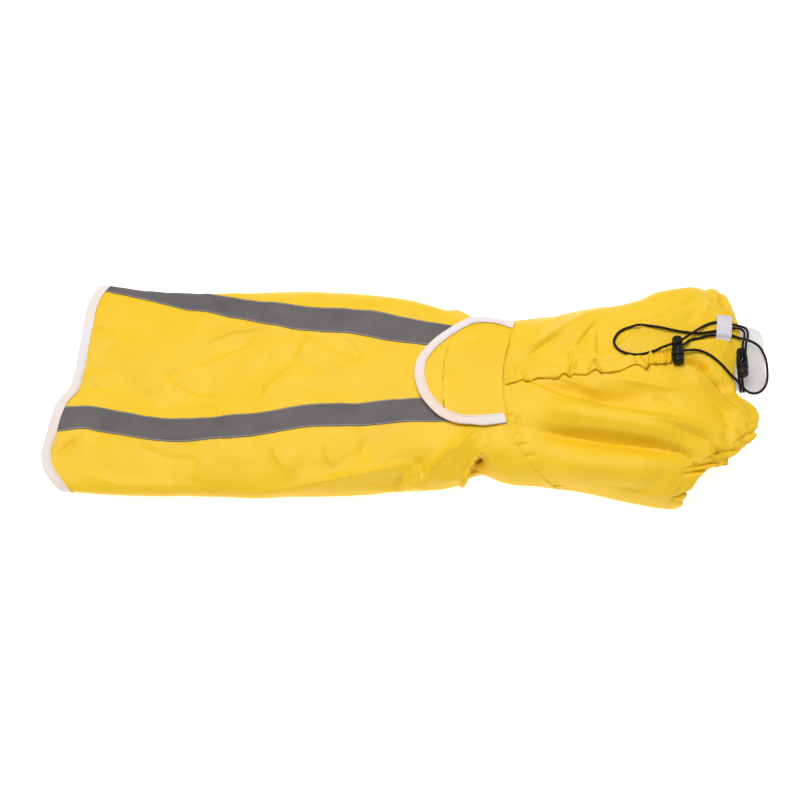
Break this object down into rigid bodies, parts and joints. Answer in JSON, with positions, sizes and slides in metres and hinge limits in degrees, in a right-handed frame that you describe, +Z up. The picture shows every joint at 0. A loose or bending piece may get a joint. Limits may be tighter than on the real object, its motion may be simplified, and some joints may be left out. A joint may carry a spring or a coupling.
{
  "type": "dog raincoat",
  "caption": "Hooded dog raincoat laid on its belly: a flat cloth tube with reflective tapes, a bound leash flap, a gathered hood, a clear visor and elastic cords with locks.",
  "frame": {"origin": "on the table, under the middle of the coat as it lies", "axes": "+X from the tail hem to the face opening, +Y to the wearer's left, +Z up from the table"},
  "size_m": [0.7165, 0.252, 0.0773],
  "materials": {
    "yellow_cloth": "coated plain-weave polyester, low sheen",
    "white_binding": "ribbed binding tape, matt",
    "reflective_tape": "grey reflective tape, satin",
    "clear_visor": "clear film, slightly hazy",
    "white_ribbon": "woven ribbon, satin",
    "black_cord": "braided elastic cord, matt",
    "black_plastic": "moulded, semi-matt"
  },
  "bodies": {
    "root": {"back_panel": "yellow_cloth", "belly_panel": "yellow_cloth", "hood_left": "yellow_cloth", "hood_right": "yellow_cloth", "throat_panel": "yellow_cloth", "face_hem": "yellow_cloth", "crown_casing": "yellow_cloth", "leash_flap": "yellow_cloth", "tail_binding": "white_binding", "flap_binding": "white_binding", "tape_left": "reflective_tape", "tape_right": "reflective_tape", "visor": "clear_visor", "keeper_tab": "white_ribbon", "brim_cord": "black_cord", "casing_cord": "black_cord", "crown_lock_barrel": "black_plastic", "crown_lock_button": "black_plastic", "brim_lock_barrel": "black_plastic", "brim_lock_button": "black_plastic"}
  },
  "joints": []
}
